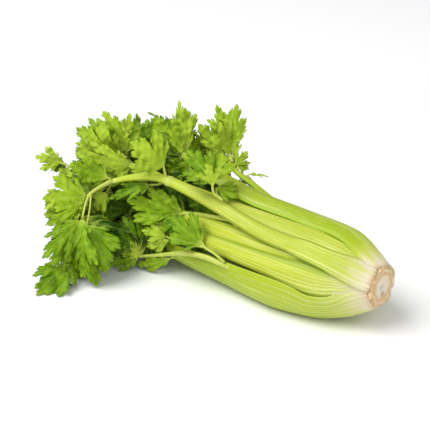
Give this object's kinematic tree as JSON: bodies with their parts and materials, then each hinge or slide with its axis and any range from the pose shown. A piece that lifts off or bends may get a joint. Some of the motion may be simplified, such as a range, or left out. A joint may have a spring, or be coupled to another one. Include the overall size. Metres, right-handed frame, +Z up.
{
  "type": "head of celery",
  "caption": "Whole head of celery lying on its side: cut crown, ribbed crescent stalks narrowing to thin stems, and sprays of lobed, toothed leaflets.",
  "frame": {"origin": "on the ground, at the middle of the box round the head", "axes": "+X along the head towards the crown's cut face, +Z up"},
  "size_m": [0.3862, 0.2574, 0.1483],
  "materials": {
    "crown": "matte cream cut face with a tan rim",
    "stalk_outer": "waxy, ribbed lengthwise, green, white towards the crown",
    "stalk_inner": "waxy, ribbed lengthwise, pale yellow-green, white towards the crown",
    "leaf": "soft sheen, veined, paler underneath"
  },
  "bodies": {
    "root": {"crown": "crown", "stalk_arched": "stalk_inner", "stalk_near_low": "stalk_outer", "stalk_top": "stalk_outer", "stalk_under": "stalk_outer", "stalk_far": "stalk_outer", "stalk_inner_upper": "stalk_inner", "stalk_inner_near": "stalk_inner", "stalk_inner_under": "stalk_inner", "stalk_inner_far_low": "stalk_inner", "stalk_inner_far_high": "stalk_inner", "stalk_third_near": "stalk_inner", "stalk_heart_low": "stalk_inner", "stalk_heart_high": "stalk_inner", "leaf_drooping": "leaf", "leaf_drooping_inner": "leaf", "leaf_left_pair": "leaf", "leaf_left_folded": "leaf", "leaf_left_inner": "leaf", "leaf_over_arch": "leaf", "leaf_shoulder": "leaf", "leaf_shoulder_small": "leaf", "leaf_top_left": "leaf", "leaf_top_left_low": "leaf", "leaf_top_left_rear": "leaf", "leaf_top_middle": "leaf", "leaf_top_middle_rear": "leaf", "leaf_top_right": "leaf", "leaf_top_right_rear": "leaf", "leaf_top_right_small": "leaf", "leaf_under_arch": "leaf", "leaf_under_arch_high": "leaf", "leaf_on_stalk": "leaf", "leaf_low_upper": "leaf", "leaf_low": "leaf", "leaf_low_flat": "leaf", "leaf_inside_low": "leaf", "leaf_inside_right": "leaf", "leaf_inside_high": "leaf", "leaf_inside_left": "leaf", "leaf_inside_middle": "leaf", "leaf_top_rear": "leaf", "leaf_left_rear": "leaf", "leaf_inside_bottom": "leaf", "leaf_far_left": "leaf", "leaf_resting": "leaf", "leaf_left_dark": "leaf", "leaf_far_side_1": "leaf", "leaf_far_side_2": "leaf", "leaf_far_side_3": "leaf", "leaf_far_side_4": "leaf", "leaf_far_side_5": "leaf", "leaf_far_side_6": "leaf", "leaf_far_side_7": "leaf", "leaf_far_side_8": "leaf", "leaf_far_side_9": "leaf", "leaf_far_side_10": "leaf"}
  },
  "joints": []
}
